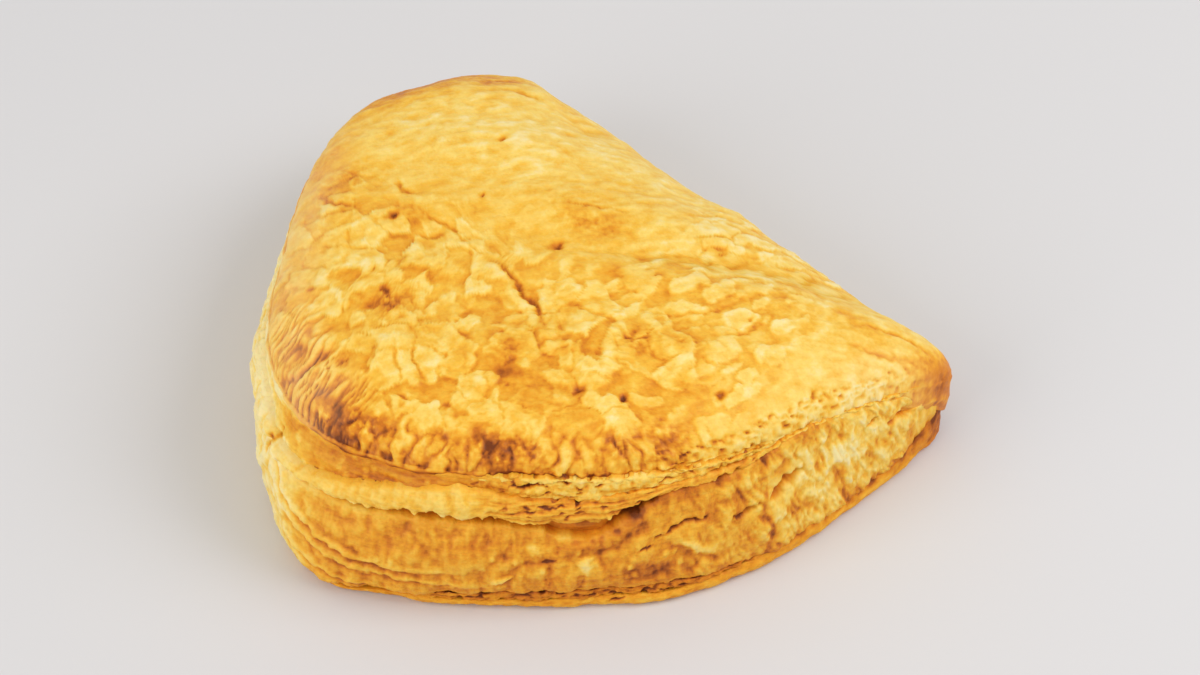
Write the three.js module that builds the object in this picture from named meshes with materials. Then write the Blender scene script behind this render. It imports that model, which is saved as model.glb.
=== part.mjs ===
// A baked puff pastry turnover, folded over once: one closed solid that rests on its flat base crust.
// Millimetres, +Z up. The origin is the middle of the footprint, on the surface that the pastry stands on.
// +X runs along the folded edge, from the broad corner to the narrow tail. The cut edge, which shows its
// layers, goes round the -X and -Y sides.
import * as THREE from 'three';

// ---- Driving dimensions ----

const CROWN_HEIGHT = 43;
const CROWN_X = 1;
const CROWN_Y = 8;
const DOME_POWER = 1.8;

const FOOT_UNDERCUT = 2.5; // the resting face lies this far inside the widest line of the base crust
const FOOT_ROUNDING = 1.5; // how far the base crust's lower edge is rounded in
const FOOT_ROUNDING_TOP = 0.1; // fraction of the edge's height where that rounding ends

const HILL_HEIGHT = 0.6; // low swells of the lid
const HILL_SPACING_X = 34;
const HILL_SPACING_Y = 27;

const PLACES_AROUND = 160;
const ROWS_PER_LAYER = 3;
const LAYER_ROUNDNESS = 0.5;

// The widest line of the lid, counter-clockwise from the tail, seen from above.
//   x, y, z    where it runs, and how high
//   foot       how far the base crust stands out beyond it
//   belly      how far the side swells out halfway up
//   fold       0 on the cut edge, 1 on the folded edge
//   shoulder   how squarely the lid turns down into its edge
const STATIONS = [
  { x: 69, y: 56, z: 14.5, foot: 0, belly: 0, fold: 0.4, shoulder: 1.7 }, // tip of the tail
  { x: 52, y: 58, z: 13, foot: -5, belly: 0, fold: 1, shoulder: 1.6 },
  { x: 24, y: 59, z: 14, foot: -7, belly: 0, fold: 1, shoulder: 2.3 },
  { x: -4, y: 60, z: 15, foot: -8, belly: 0, fold: 1, shoulder: 2.3 }, // middle of the fold
  { x: -33, y: 63, z: 16, foot: -8, belly: 0, fold: 1, shoulder: 2.4 },
  { x: -55, y: 61, z: 19, foot: -6, belly: 0, fold: 0.7, shoulder: 2.8 }, // broad corner
  { x: -67, y: 47, z: 25, foot: -2, belly: 1, fold: 0.2, shoulder: 4 },
  { x: -70, y: 24, z: 31, foot: 0, belly: 1, fold: 0, shoulder: 4.5 },
  { x: -63, y: 0, z: 33, foot: 0, belly: 1, fold: 0, shoulder: 4.5 },
  { x: -49, y: -23, z: 33, foot: 0.5, belly: 2, fold: 0, shoulder: 4.5 },
  { x: -32, y: -44, z: 34, foot: 1.5, belly: 2, fold: 0, shoulder: 4.5 },
  { x: -11, y: -54, z: 34, foot: 9, belly: 2, fold: 0, shoulder: 4.5 }, // point of the cut edge
  { x: 11, y: -50, z: 34, foot: 7, belly: 2, fold: 0, shoulder: 4.5 },
  { x: 29, y: -38, z: 34, foot: 7, belly: 1, fold: 0, shoulder: 4.5 },
  { x: 46, y: -22, z: 33, foot: 7.5, belly: 0, fold: 0, shoulder: 4.5 },
  { x: 58, y: -2, z: 31, foot: 7, belly: 0, fold: 0, shoulder: 4 },
  { x: 64, y: 20, z: 27, foot: 5, belly: 0, fold: 0, shoulder: 3.4 },
  { x: 69, y: 40, z: 22, foot: 2.5, belly: 0, fold: 0.1, shoulder: 2.4 },
];

// The layers of the cut edge, as fractions of its height, and how far each one swells out, or is set back.
const LAYERS = [
  { from: 0, to: 0.11, proud: 1.2 }, // base crust
  { from: 0.11, to: 0.16, proud: -0.5 }, // browned leaves
  { from: 0.16, to: 0.585, proud: 1.8 }, // lower crumb
  { from: 0.585, to: 0.62, proud: -1.5 }, // tear between the two halves
  { from: 0.62, to: 0.87, proud: 1.6 }, // upper crumb
  { from: 0.87, to: 0.93, proud: -0.6 }, // thin leaves
  { from: 0.93, to: 1, proud: 1.2 }, // edge of the lid
];

// The rings of the lid, from its widest line in to the crown, as fractions of the way out.
const LID_RINGS = [1, 0.99, 0.97, 0.93, 0.88, 0.8, 0.68, 0.5, 0.3];

// ---- The rim ----

// A value of the stations at t, 0 to 1 once round: a Catmull-Rom spline through all of them.
function aroundRim(name, t) {
  const place = (((t % 1) + 1) % 1) * STATIONS.length;
  const first = Math.floor(place);
  const f = place - first;
  const value = (step) => STATIONS[(first + step + STATIONS.length) % STATIONS.length][name];
  const [a, b, c, d] = [value(-1), value(0), value(1), value(2)];
  const slope = c - a;
  const bend = 2 * a - 5 * b + 4 * c - d;
  const twist = 3 * b - a - 3 * c + d;
  return 0.5 * (2 * b + slope * f + bend * f ** 2 + twist * f ** 3);
}

function rimPoint(t) {
  return new THREE.Vector2(aroundRim('x', t), aroundRim('y', t));
}

// The places round the rim, evenly spaced along it, each with its outward direction and its values.
function placesRoundRim(count) {
  const samples = count * 20;
  const lengths = [0];
  for (let i = 1; i <= samples; i += 1) {
    const step = rimPoint(i / samples).distanceTo(rimPoint((i - 1) / samples));
    lengths.push(lengths[i - 1] + step);
  }
  const places = [];
  let sample = 0;
  for (let i = 0; i < count; i += 1) {
    const wanted = (lengths[samples] * i) / count;
    while (lengths[sample + 1] < wanted) sample += 1;
    const part = (wanted - lengths[sample]) / (lengths[sample + 1] - lengths[sample]);
    const t = (sample + part) / samples;
    const ahead = rimPoint(t + 1 / samples).sub(rimPoint(t - 1 / samples)).normalize();
    places.push({
      point: rimPoint(t),
      out: new THREE.Vector2(ahead.y, -ahead.x),
      height: aroundRim('z', t),
      foot: aroundRim('foot', t),
      belly: aroundRim('belly', t),
      fold: THREE.MathUtils.clamp(aroundRim('fold', t), 0, 1),
      shoulder: aroundRim('shoulder', t),
    });
  }
  return places;
}

// ---- The section ----

// How far the layer at fraction w of the height swells out or is set back: half a sine wave, made fuller
// by its power.
function layerSwell(w) {
  const layer = LAYERS.find(({ from, to }) => w >= from && w < to);
  if (!layer) return 0;
  const across = (w - layer.from) / (layer.to - layer.from);
  return layer.proud * Math.sin(Math.PI * across) ** LAYER_ROUNDNESS;
}

// A point of the side at fraction w of its height. The cut edge steps in and out with its layers,
// and the folded edge is a plain quarter round.
function sidePoint(place, w) {
  const rounding = FOOT_ROUNDING * (1 - Math.min(1, w / FOOT_ROUNDING_TOP)) ** 2;
  const cut = place.foot * (1 - w) + place.belly * Math.sin(Math.PI * w) + layerSwell(w) - rounding;
  const folded = place.foot * (1 - Math.sin((w * Math.PI) / 2));
  const out = THREE.MathUtils.lerp(cut, folded, place.fold);
  const point = place.point.clone().addScaledVector(place.out, out);
  return new THREE.Vector3(point.x, point.y, place.height * w);
}

// A point of the lid at fraction r of the way from the crown out to the rim: a dome with low swells.
function lidPoint(place, r) {
  const x = THREE.MathUtils.lerp(CROWN_X, place.point.x, r);
  const y = THREE.MathUtils.lerp(CROWN_Y, place.point.y, r);
  const dome = (CROWN_HEIGHT - place.height) * (1 - r ** place.shoulder) ** (1 / DOME_POWER);
  const wave = Math.sin((2 * Math.PI * x) / HILL_SPACING_X) * Math.sin((2 * Math.PI * y) / HILL_SPACING_Y);
  return new THREE.Vector3(x, y, place.height + dome + HILL_HEIGHT * wave * (1 - r ** 4));
}

// ---- The solid ----

function turnoverGeometry() {
  const places = placesRoundRim(PLACES_AROUND);
  const rings = [];
  rings.push(places.map(({ point, out, foot }) => {
    const edge = point.clone().addScaledVector(out, foot - FOOT_UNDERCUT);
    return new THREE.Vector3(edge.x, edge.y, 0);
  }));
  for (const { from, to } of LAYERS) {
    for (let row = 1; row <= ROWS_PER_LAYER; row += 1) {
      const w = THREE.MathUtils.lerp(from, to, row / ROWS_PER_LAYER);
      if (w < 1) rings.push(places.map((place) => sidePoint(place, w)));
    }
  }
  for (const r of LID_RINGS) rings.push(places.map((place) => lidPoint(place, r)));

  const crown = lidPoint(places[0], 0);
  const points = [...rings.flat(), new THREE.Vector3(CROWN_X, CROWN_Y, 0), crown];
  const baseMiddle = points.length - 2;
  const top = points.length - 1;
  const faces = [];
  for (let i = 0; i < PLACES_AROUND; i += 1) {
    const next = (i + 1) % PLACES_AROUND;
    faces.push(baseMiddle, next, i);
    for (let ring = 0; ring + 1 < rings.length; ring += 1) {
      const low = ring * PLACES_AROUND;
      const high = low + PLACES_AROUND;
      faces.push(low + i, low + next, high + next, low + i, high + next, high + i);
    }
    const last = (rings.length - 1) * PLACES_AROUND;
    faces.push(last + i, last + next, top);
  }
  const geometry = new THREE.BufferGeometry().setFromPoints(points);
  geometry.setIndex(faces);
  geometry.computeVertexNormals();
  return geometry;
}

const bakedCrust = new THREE.MeshStandardMaterial({ color: 0xe0a040, roughness: 0.5, metalness: 0 });

const pastry = new THREE.Mesh(turnoverGeometry(), bakedCrust);
pastry.name = 'pastry';

const turnover = new THREE.Group();
turnover.add(pastry);

export default turnover;
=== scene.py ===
"""The looks of a baked puff pastry turnover, folded over once and shut.

A crackled lid crust domes over the pastry and wraps down round the folded edge. The cut edge shows the layers
between the lid and the flat base crust. Lengths are in millimetres until a mesh is made.
"""
import math

import bpy
import numpy as np
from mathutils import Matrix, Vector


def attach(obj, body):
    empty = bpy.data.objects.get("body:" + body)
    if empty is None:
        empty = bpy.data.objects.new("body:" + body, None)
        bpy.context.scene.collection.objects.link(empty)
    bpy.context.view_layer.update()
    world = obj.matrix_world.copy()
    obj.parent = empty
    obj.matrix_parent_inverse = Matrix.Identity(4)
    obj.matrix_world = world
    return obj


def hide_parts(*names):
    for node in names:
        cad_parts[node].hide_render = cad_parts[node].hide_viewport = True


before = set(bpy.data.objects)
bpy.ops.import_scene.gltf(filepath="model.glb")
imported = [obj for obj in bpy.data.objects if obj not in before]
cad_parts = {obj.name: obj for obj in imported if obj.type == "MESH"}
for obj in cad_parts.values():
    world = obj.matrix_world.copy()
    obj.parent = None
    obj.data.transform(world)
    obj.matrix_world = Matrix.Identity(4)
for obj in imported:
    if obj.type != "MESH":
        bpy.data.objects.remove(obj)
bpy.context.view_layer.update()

MM = 0.001

# ---- The shape of the pastry ----

CROWN_HEIGHT = 43
CROWN_X = 1
CROWN_Y = 8
DOME_POWER = 1.8
HILL_HEIGHT = 0.6
HILL_SPACING_X = 34
HILL_SPACING_Y = 27
FOOT_ROUNDING = 1.5
FOOT_ROUNDING_TOP = 0.1
FOOT_UNDERCUT = 2.5

# Once round the widest line of the lid, counter-clockwise seen from above. x, y and height say where it runs,
# foot how far the base stands out beyond it, belly how far the side swells out halfway up, fold is 0 on the
# cut edge and 1 on the folded edge, and shoulder says how squarely the lid turns down.
STATION_VALUES = ("x", "y", "height", "foot", "belly", "fold", "shoulder")
STATIONS = np.array([
    (-4, 60, 15, -8, 0, 1, 2.3),  # middle of the fold
    (-33, 63, 16, -8, 0, 1, 2.4),
    (-55, 61, 19, -6, 0, 0.7, 2.8),  # broad corner
    (-67, 47, 25, -2, 1, 0.2, 4),
    (-70, 24, 31, 0, 1, 0, 4.5),
    (-63, 0, 33, 0, 1, 0, 4.5),
    (-49, -23, 33, 0.5, 2, 0, 4.5),
    (-32, -44, 34, 1.5, 2, 0, 4.5),
    (-11, -54, 34, 9, 2, 0, 4.5),  # point of the cut edge
    (11, -50, 34, 7, 2, 0, 4.5),
    (29, -38, 34, 7, 1, 0, 4.5),
    (46, -22, 33, 7.5, 0, 0, 4.5),
    (58, -2, 31, 7, 0, 0, 4),
    (64, 20, 27, 5, 0, 0, 3.4),
    (69, 40, 22, 2.5, 0, 0.1, 2.4),
    (69, 56, 14.5, 0, 0, 0.4, 1.7),  # tip of the tail
    (52, 58, 13, -5, 0, 1, 1.6),
    (24, 59, 14, -7, 0, 1, 2.3),
], float)
RIM_PLACES = 4096


def spline_round(values, t):
    """A closed Catmull-Rom spline through the rows of values, at t, 0 to 1 once round."""
    place = np.mod(t, 1) * len(values)
    first = np.floor(place).astype(int)
    f = (place - first)[:, None]
    a, b, c, d = (values[(first + step) % len(values)] for step in (-1, 0, 1, 2))
    return 0.5 * (2 * b + (c - a) * f + (2 * a - 5 * b + 4 * c - d) * f**2 + (3 * b - a - 3 * c + d) * f**3)


def measure_rim():
    """The rim's length, and its values and outward direction at places evenly spaced along it."""
    t = np.linspace(0, 1, RIM_PLACES + 1)
    values = spline_round(STATIONS, t)
    steps = np.linalg.norm(np.diff(values[:, :2], axis=0), axis=1)
    lengths = np.append(0, np.cumsum(steps))
    even = np.linspace(0, lengths[-1], RIM_PLACES, endpoint=False)
    values = spline_round(STATIONS, np.interp(even, lengths, t))
    ahead = np.roll(values[:, :2], -1, axis=0) - np.roll(values[:, :2], 1, axis=0)
    ahead /= np.linalg.norm(ahead, axis=1)[:, None]
    return lengths[-1], np.column_stack([values, ahead[:, 1], -ahead[:, 0]])


RIM_LENGTH, RIM_TABLE = measure_rim()
RIM_COLUMNS = STATION_VALUES + ("out_x", "out_y")


def rim(s):
    """What the rim is like s mm along it from the middle of the fold: a dict of arrays."""
    place = np.mod(s, RIM_LENGTH) / RIM_LENGTH * RIM_PLACES
    first = np.floor(place).astype(int)
    f = (place - first)[..., None]
    rows = RIM_TABLE[first % RIM_PLACES] * (1 - f) + RIM_TABLE[(first + 1) % RIM_PLACES] * f
    at = dict(zip(RIM_COLUMNS, np.moveaxis(rows, -1, 0)))
    at["fold"] = np.clip(at["fold"], 0, 1)
    return at


def beyond_rim(at, out, z):
    """Points that stand out from the rim's places, at those heights."""
    return np.stack([at["x"] + at["out_x"] * out, at["y"] + at["out_y"] * out, z], -1)


# ---- Numbers that look random and are the same each run ----

NOISE_GAIN = 1.6  # brings the blended slopes to about -1 to 1
FRACTAL_SUM = 1.6  # what the halving strengths come to, about


def lattice(ix, iy, seed):
    """A number from 0 to 1 for each whole-number place: multiplied by large primes, its bits mixed."""
    bits = (ix * 374761393 + iy * 668265263 + seed * 974634777) & 0xFFFFFFFF
    bits = ((bits ^ (bits >> 13)) * 1274126177) & 0xFFFFFFFF
    bits = ((bits ^ (bits >> 16)) * 1103515245) & 0xFFFFFFFF
    return (bits ^ (bits >> 15)) / 4294967296.0


def noise(x, y, seed):
    """Gradient noise, about -1 to 1: the slopes at the four corners of each unit square, blended."""
    ix = np.floor(x).astype(np.int64)
    iy = np.floor(y).astype(np.int64)
    fx = x - ix
    fy = y - iy
    ux = fx**3 * (fx * (fx * 6 - 15) + 10)
    uy = fy**3 * (fy * (fy * 6 - 15) + 10)

    def slope(dx, dy):
        turn = 2 * math.pi * lattice(ix + dx, iy + dy, seed)
        return np.cos(turn) * (fx - dx) + np.sin(turn) * (fy - dy)

    low = slope(0, 0) * (1 - ux) + slope(1, 0) * ux
    high = slope(0, 1) * (1 - ux) + slope(1, 1) * ux
    return NOISE_GAIN * (low * (1 - uy) + high * uy)


def drift(x, spacing, seed):
    """Noise that changes in one direction only, with that spacing."""
    return noise(x / spacing, 0 * x, seed)


def fractal(x, y, seed, octaves=4):
    """Noise of halving size and strength, added up."""
    total = 0
    for k in range(octaves):
        total += noise(x * 2**k + 17 * k, y * 2**k - 9 * k, seed + k) / 2**k
    return total / FRACTAL_SUM


def wobble(x, y, spacing, amount, seed):
    """How far a place is shifted each way, by noise of that spacing."""
    return amount * np.array([noise(x / spacing, y / spacing, seed + way) for way in (0, 1)])


def cells(x, y, seed, jitter=0.9):
    """How far the nearest and next of one point per unit square are, and the two points' numbers."""
    ix = np.floor(x).astype(np.int64)
    iy = np.floor(y).astype(np.int64)
    fx = x - ix
    fy = y - iy
    nearest = np.full(np.shape(x), 9.0)
    second = nearest.copy()
    number = np.zeros(np.shape(x))
    beside = np.zeros(np.shape(x))
    for dx in (-1, 0, 1):
        for dy in (-1, 0, 1):
            px = dx + 0.5 + jitter * (lattice(ix + dx, iy + dy, seed) - 0.5)
            py = dy + 0.5 + jitter * (lattice(ix + dx, iy + dy, seed + 1) - 0.5)
            away = np.hypot(px - fx, py - fy)
            own = lattice(ix + dx, iy + dy, seed + 2)
            closer = away < nearest
            beside = np.where(closer, number, np.where(away < second, own, beside))
            number = np.where(closer, own, number)
            second = np.where(closer, nearest, np.minimum(second, away))
            nearest = np.minimum(nearest, away)
    return nearest, second, number, beside


def discs(x, y, size, seed, share, rise):
    """Round plates that overlap: how high the tallest one stands at each place, 0 to 1, and its own number.

    One plate per square of that size, for that share of the squares. Their edges are rise mm wide.
    """
    ix = np.floor(x / size).astype(np.int64)
    iy = np.floor(y / size).astype(np.int64)
    top = np.zeros(np.shape(x))
    number = np.zeros(np.shape(x))
    for dx in (-1, 0, 1):
        for dy in (-1, 0, 1):
            own = lattice(ix + dx, iy + dy, seed)
            at_x = (ix + dx + 0.1 + 0.8 * lattice(ix + dx, iy + dy, seed + 1)) * size
            at_y = (iy + dy + 0.1 + 0.8 * lattice(ix + dx, iy + dy, seed + 2)) * size
            radius = (0.36 + 0.36 * lattice(ix + dx, iy + dy, seed + 3)) * size
            height = (0.55 + 0.45 * own / share) * soft(0, rise, radius - np.hypot(at_x - x, at_y - y))
            height *= own < share
            taller = height > top
            top = np.where(taller, height, top)
            number = np.where(taller, np.mod(own * 7.3, 1), number)
    return top, number


def flakes(x, y, size, seed, share):
    """Angular plates with quick edges, for that share of the cells: how high each stands, and its own number.

    Where two plates meet, the surface dips only a little between them.
    """
    nearest, second, number, beside = cells(x / size, y / size, seed)
    own = (number < share) * (0.5 + 0.5 * number / share)
    other = (beside < share) * (0.5 + 0.5 * beside / share)
    meeting = 0.5 * np.minimum(own, other)
    height = meeting + (own - meeting) * soft(0.1, 1.0, (second - nearest) * size)
    return height, np.mod(number * 7.3, 1)


def terraces(value, steps):
    """The value, from about -1 to 1, in flat steps with short slopes between them, like torn thin layers."""
    scaled = value * steps
    below = np.floor(scaled)
    return (below + soft(0.35, 1.0, scaled - below)) / steps


def soft(low, high, value):
    """0 on low's side, 1 on high's side, and a smooth step between them."""
    f = np.clip((value - low) / (high - low), 0, 1)
    return f * f * (3 - 2 * f)


def span(start, full, fading, end, value):
    """0 below start, 1 from full to fading, 0 above end, and smooth steps between them."""
    return soft(start, full, value) * soft(end, fading, value)


def bell(x):
    """1 at 0, falling off to both sides as a bell curve."""
    return np.exp(-(x**2))


def turned(x, y, degrees):
    """How far each place lies along a direction that many degrees from +X, and how far across it."""
    turn = math.radians(degrees)
    return x * math.cos(turn) + y * math.sin(turn), y * math.cos(turn) - x * math.sin(turn)


def spot(x, y, at_x, at_y, radius_x, radius_y):
    """1 in the middle of an oval, fading out as a bell curve that is nearly gone at its radius."""
    return np.exp(-2.2 * (((x - at_x) / radius_x) ** 2 + ((y - at_y) / radius_y) ** 2))


def spots(x, y, ovals):
    """The sum of ovals: x and y of the middle, the two radii, and how much there."""
    return sum(amount * spot(x, y, *oval) for *oval, amount in ovals)


def off_line(x, y, points):
    """The distance to a line through points, the signed one, and how far along the line, from 0 to 1."""
    best = np.full(np.shape(x), np.inf)
    side = np.zeros(np.shape(x))
    along = np.zeros(np.shape(x))
    points = np.array(points, float)
    lengths = np.linalg.norm(np.diff(points, axis=0), axis=1)
    starts = np.append(0, np.cumsum(lengths))
    for (ax, ay), (bx, by), start, length in zip(points[:-1], points[1:], starts, lengths):
        ux, uy = (bx - ax) / length, (by - ay) / length
        reach = np.clip((x - ax) * ux + (y - ay) * uy, 0, length)
        dx = x - ax - reach * ux
        dy = y - ay - reach * uy
        away = np.hypot(dx, dy)
        closer = away < best
        best = np.where(closer, away, best)
        side = np.where(closer, np.sign(ux * dy - uy * dx), side)
        along = np.where(closer, (start + reach) / starts[-1], along)
    return best, best * side, along


def taper(reach, end):
    """Half a sine wave along a line: 1 in its middle, least within that share of the line from its ends."""
    return np.sin(math.pi * np.clip(reach, end, 1 - end))


# ---- Making meshes ----

HOLLOW_LIMITS = (-0.12, 0.24)  # the most that a ridge is painted paler as highlight, and a hollow darker as shade with some browning


def ring_faces(rows, columns, closed=False):
    """Quads of a grid whose columns close on themselves, and whose rows do too where closed."""
    r = np.arange(rows if closed else rows - 1)[:, None]
    c = np.arange(columns)[None]
    above = (r + 1) % rows
    beside = (c + 1) % columns
    quads = [r * columns + c, r * columns + beside, above * columns + beside, above * columns + c]
    return np.stack(np.broadcast_arrays(*quads), -1).reshape(-1, 4)


def vertex_normals(points, quads):
    """Outward directions at the points: each quad's crossed diagonals, summed at its corners."""
    across = np.cross(points[quads[:, 2]] - points[quads[:, 0]], points[quads[:, 3]] - points[quads[:, 1]])
    total = np.zeros_like(points)
    for axis in range(3):
        for corner in range(4):
            total[:, axis] += np.bincount(quads[:, corner], across[:, axis], len(points))
    return total / np.maximum(np.linalg.norm(total, axis=1), 1e-9)[:, None]


def hollow_shade_and_browning(points, quads, rounds, gain):
    """How much darker the hollows are and paler the ridges: painted shade and highlight, with some browning.

    How deep each point lies below the surface, smoothed that many rounds, times the gain.
    """
    ends = np.concatenate([quads.ravel(), np.roll(quads, -1, axis=1).ravel()])
    others = np.concatenate([np.roll(quads, -1, axis=1).ravel(), quads.ravel()])
    neighbours = np.maximum(np.bincount(ends, minlength=len(points)), 1)
    smooth = points
    for _ in range(rounds):
        sums = [np.bincount(ends, smooth[others, axis], len(points)) for axis in range(3)]
        smooth = np.stack(sums, -1) / neighbours[:, None]
    hollow = ((smooth - points) * vertex_normals(points, quads)).sum(axis=1)
    return np.clip(gain * hollow, *HOLLOW_LIMITS)


def make_piece(name, points, face_groups, values, material):
    """A piece of the pastry: points in mm, arrays of faces, and a number per point for each attribute."""
    mesh = bpy.data.meshes.new(name)
    corners = np.concatenate([faces.ravel() for faces in face_groups])
    sizes = np.concatenate([np.full(len(faces), faces.shape[1]) for faces in face_groups])
    mesh.vertices.add(len(points))
    mesh.vertices.foreach_set("co", (points * MM).astype(np.float32).ravel())
    mesh.loops.add(len(corners))
    mesh.loops.foreach_set("vertex_index", corners.astype(np.int32))
    mesh.polygons.add(len(sizes))
    mesh.polygons.foreach_set("loop_start", (np.cumsum(sizes) - sizes).astype(np.int32))
    mesh.polygons.foreach_set("use_smooth", np.ones(len(sizes), bool))
    mesh.update(calc_edges=True)
    for key, numbers in values.items():
        layer = mesh.attributes.new(key, "FLOAT", "POINT")
        layer.data.foreach_set("value", np.asarray(numbers, np.float32))
    mesh.materials.append(material)
    piece = bpy.data.objects.new(name, mesh)
    bpy.context.scene.collection.objects.link(piece)
    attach(piece, "root")
    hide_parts("pastry")


# ---- Materials ----


def linear(sheen):
    """An sRGB hex colour as the linear red, green, blue and alpha that the shaders take."""
    parts = [int(sheen[i:i + 2], 16) / 255 for i in (1, 3, 5)]
    return [p / 12.92 if p <= 0.04045 else ((p + 0.055) / 1.055) ** 2.4 for p in parts] + [1]


def add(tree, kind, settings=None, **sockets):
    """Adds a node: settings are its own values, sockets its inputs' values or what is linked to them."""
    node = tree.nodes.new(kind)
    for key, value in (settings or {}).items():
        setattr(node, key, value)
    for key, value in sockets.items():
        socket = node.inputs[int(key[1:])] if key[0] == "_" else node.inputs[key.replace("_", " ")]
        if isinstance(value, bpy.types.NodeSocket):
            tree.links.new(value, socket)
        else:
            socket.default_value = value
    return node


# How dough browns, from raw cream to nearly burnt.
BROWNING = [
    (0.00, "#fde7a4"),
    (0.20, "#fcd56a"),
    (0.38, "#f6bd3e"),
    (0.55, "#eca024"),
    (0.72, "#d67d19"),
    (0.86, "#ae5b14"),
    (1.00, "#78380e"),
]
DUSTY = "#f6cf9c"  # the duller tone of dry crust, without butter
MOTTLE_MM = 4.5
SPECKLE_MM = 0.8
MOTTLE_SHARES = (1.8, 0.8, 1.2)  # how strongly the mottling, the speckles and the streaks show
STREAK_STEPS = 9.0
ROUGHNESS_SPREAD = 0.1
GLOW_MM = 0.9  # how far light gets into the dough, and less so its green and blue
GLOW_COLOURS = (1.0, 0.55, 0.25)


def pastry_material(name, grain_mm, grain_depth_mm, mottle, roughness, gloss, glow, drawn, turn,
                    drawn_depth_mm):
    """Baked puff pastry: butter and egg wash give a satin gloss, and thin dough lets a little light through.

    The bake attribute picks the colour from BROWNING, broken up by mottling of a few millimetres, by fine
    speckles and by streaks that are drawn mm long each way, turned by turn degrees. The dryness attribute
    dulls it towards DUSTY. A grain of grain_mm gives the finely blistered surface.
    """
    material = bpy.data.materials.new(name)
    material.use_nodes = True
    tree = material.node_tree
    tree.nodes.clear()
    place = add(tree, "ShaderNodeTexCoord").outputs["Object"]
    mottling = add(tree, "ShaderNodeTexNoise", Vector=place, Scale=1 / (MOTTLE_MM * MM), Detail=5.0,
                   Roughness=0.62)
    speckles = add(tree, "ShaderNodeTexNoise", Vector=place, Scale=1 / (SPECKLE_MM * MM), Detail=2.0,
                   Roughness=0.6)
    aligned = add(tree, "ShaderNodeVectorRotate", {"rotation_type": "Z_AXIS"}, Vector=place,
                  Angle=math.radians(-turn))
    stretched = add(tree, "ShaderNodeVectorMath", {"operation": "MULTIPLY"}, _0=aligned.outputs["Vector"],
                    _1=tuple(1 / (length * MM) for length in drawn))
    streaks = add(tree, "ShaderNodeTexNoise", Vector=stretched.outputs["Vector"], Scale=1.0, Detail=3.0,
                  Roughness=0.6)
    tone = add(tree, "ShaderNodeAttribute", {"attribute_name": "bake"}).outputs["Fac"]
    for pattern, share in zip((mottling, speckles, streaks), MOTTLE_SHARES):
        shift = add(tree, "ShaderNodeMath", {"operation": "MULTIPLY_ADD"}, _0=pattern.outputs["Fac"],
                    _1=mottle * share, _2=-mottle * share / 2)
        tone = add(tree, "ShaderNodeMath", {"operation": "ADD"}, _0=tone, _1=shift.outputs[0]).outputs[0]
    ramp = add(tree, "ShaderNodeValToRGB", Fac=tone)
    stops = ramp.color_ramp.elements
    while len(stops) < len(BROWNING):
        stops.new(0.5)
    for stop, (at, colour) in zip(stops, BROWNING):
        stop.position = at
        stop.color = linear(colour)
    dryness = add(tree, "ShaderNodeAttribute", {"attribute_name": "dryness"}).outputs["Fac"]
    colour = add(tree, "ShaderNodeMix", {"data_type": "RGBA"}, _0=dryness, _6=ramp.outputs["Color"],
                 _7=linear(DUSTY))
    grain = add(tree, "ShaderNodeTexNoise", Vector=place, Scale=1 / (grain_mm * MM), Detail=4.0,
                Roughness=0.6)
    torn = add(tree, "ShaderNodeMapRange", {"interpolation_type": "STEPPED"}, Value=streaks.outputs["Fac"],
               Steps=STREAK_STEPS)
    ridges = add(tree, "ShaderNodeBump", Height=torn.outputs["Result"], Strength=1.0,
                 Distance=drawn_depth_mm * MM)
    bump = add(tree, "ShaderNodeBump", Height=grain.outputs["Fac"], Strength=1.0,
               Distance=grain_depth_mm * MM, Normal=ridges.outputs["Normal"])
    dull = add(tree, "ShaderNodeMapRange", Value=grain.outputs["Fac"], To_Min=roughness - ROUGHNESS_SPREAD,
               To_Max=roughness + ROUGHNESS_SPREAD)
    surface = add(tree, "ShaderNodeBsdfPrincipled", Base_Color=colour.outputs[2],
                  Roughness=dull.outputs["Result"], Normal=bump.outputs["Normal"], Subsurface_Weight=glow,
                  Subsurface_Scale=GLOW_MM * MM, Subsurface_Radius=GLOW_COLOURS, Specular_IOR_Level=gloss)
    add(tree, "ShaderNodeOutputMaterial", Surface=surface.outputs["BSDF"])
    return material


# Egg-washed and browned: glossier, with fine blisters.
LID_CRUST = pastry_material(
    "egg_washed_crust", grain_mm=1.4, grain_depth_mm=0.2, mottle=0.15, roughness=0.46, gloss=0.22, glow=0.12,
    drawn=(5, 1.3, 2), turn=55, drawn_depth_mm=0.32)
# Torn layers of dough: dry, soft and a little translucent.
TORN_DOUGH = pastry_material(
    "torn_dough", grain_mm=1.1, grain_depth_mm=0.32, mottle=0.15, roughness=0.5, gloss=0.25, glow=0.2,
    drawn=(7, 7, 0.8), turn=0, drawn_depth_mm=0.4)
# Crisp from the tray: matt and granular.
TRAY_CRUST = pastry_material(
    "tray_crust", grain_mm=0.9, grain_depth_mm=0.22, mottle=0.2, roughness=0.55, gloss=0.2, glow=0.1,
    drawn=(6, 6, 0.8), turn=0, drawn_depth_mm=0.3)


# ---- The lid crust ----

LID_RINGS = 132
LID_CROWDING = 1.2  # above 1, the rings lie closer together towards the rim
LIP_HEIGHT = 1.8
LIP_SWELL = 0.7
LIP_ROWS = 8
FOLD_ROWS = 14
TUCK = (0.6, 2.5, 7.0)  # how far in the rows under the lip run
DOUGH_STEPS = 40  # straight steps that measure the dough from the crown outwards
STREAK_TURN = 55  # degrees from +X that the dough is drawn out in
PLATE_TURN = 78
LID_MIDDLE_Z = 12.0  # where the lid's hidden inner side meets
BURNT = 0.76  # above this, browning slows down

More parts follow.
